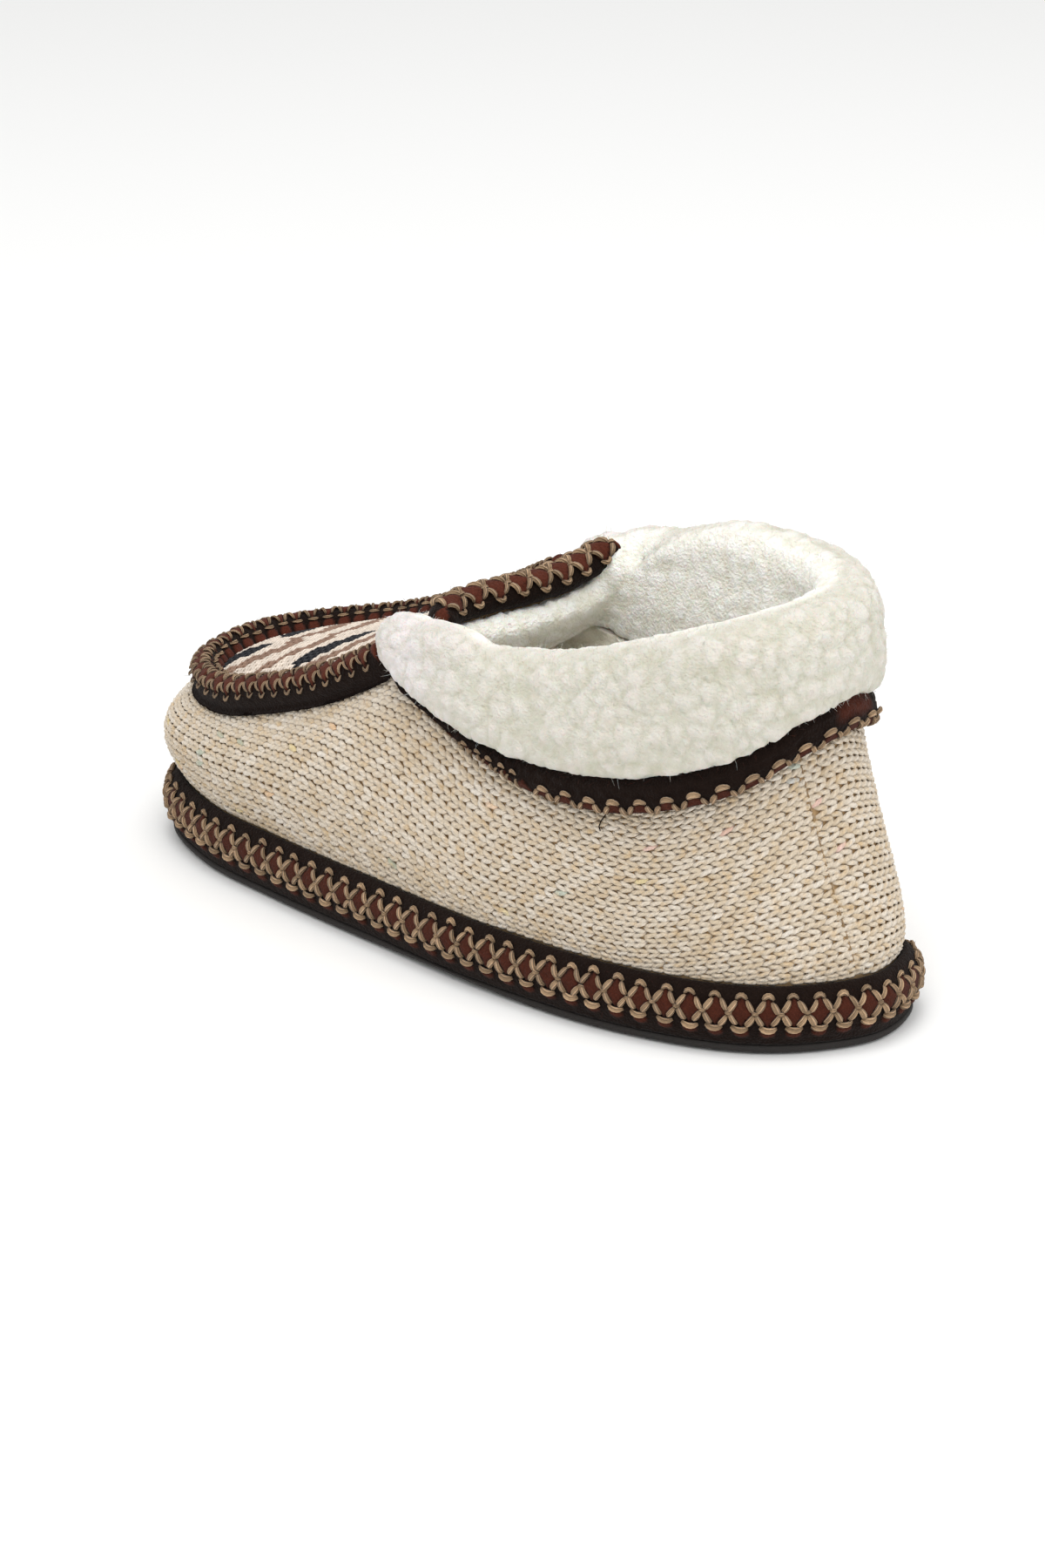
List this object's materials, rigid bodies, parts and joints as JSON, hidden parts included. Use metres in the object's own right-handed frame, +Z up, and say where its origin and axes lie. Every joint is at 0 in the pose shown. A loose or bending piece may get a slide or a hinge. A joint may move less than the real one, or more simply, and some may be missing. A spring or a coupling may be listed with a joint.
{
  "type": "moccasin slipper",
  "caption": "Knitted moccasin slipper for the left foot with a patterned vamp plug, corded cross-stitch tape trims, a folded fleece cuff and a flat moulded sole",
  "frame": {"origin": "middle of the slipper's bounding box at floor level", "axes": "+X from heel to toe, +Y to the outer (lateral) side of the left foot, +Z up"},
  "size_m": [0.2645, 0.1004, 0.1254],
  "materials": {
    "outsole": "matt dark brown-black foam rubber",
    "tape": "knitted wool tape, near black and red-brown with tan cross stitches",
    "fleece": "off-white curly fleece",
    "knit": "marled cream and tan wool jersey",
    "plug_knit": "cream, taupe and black patterned wool jersey"
  },
  "bodies": {
    "root": {"outsole": "outsole", "sole_band": "tape", "insole": "fleece", "upper": "knit", "vamp_plug": "plug_knit", "plug_trim": "tape", "throat_trim": "tape", "cuff": "fleece", "cuff_edge_trim": "tape"}
  },
  "joints": []
}
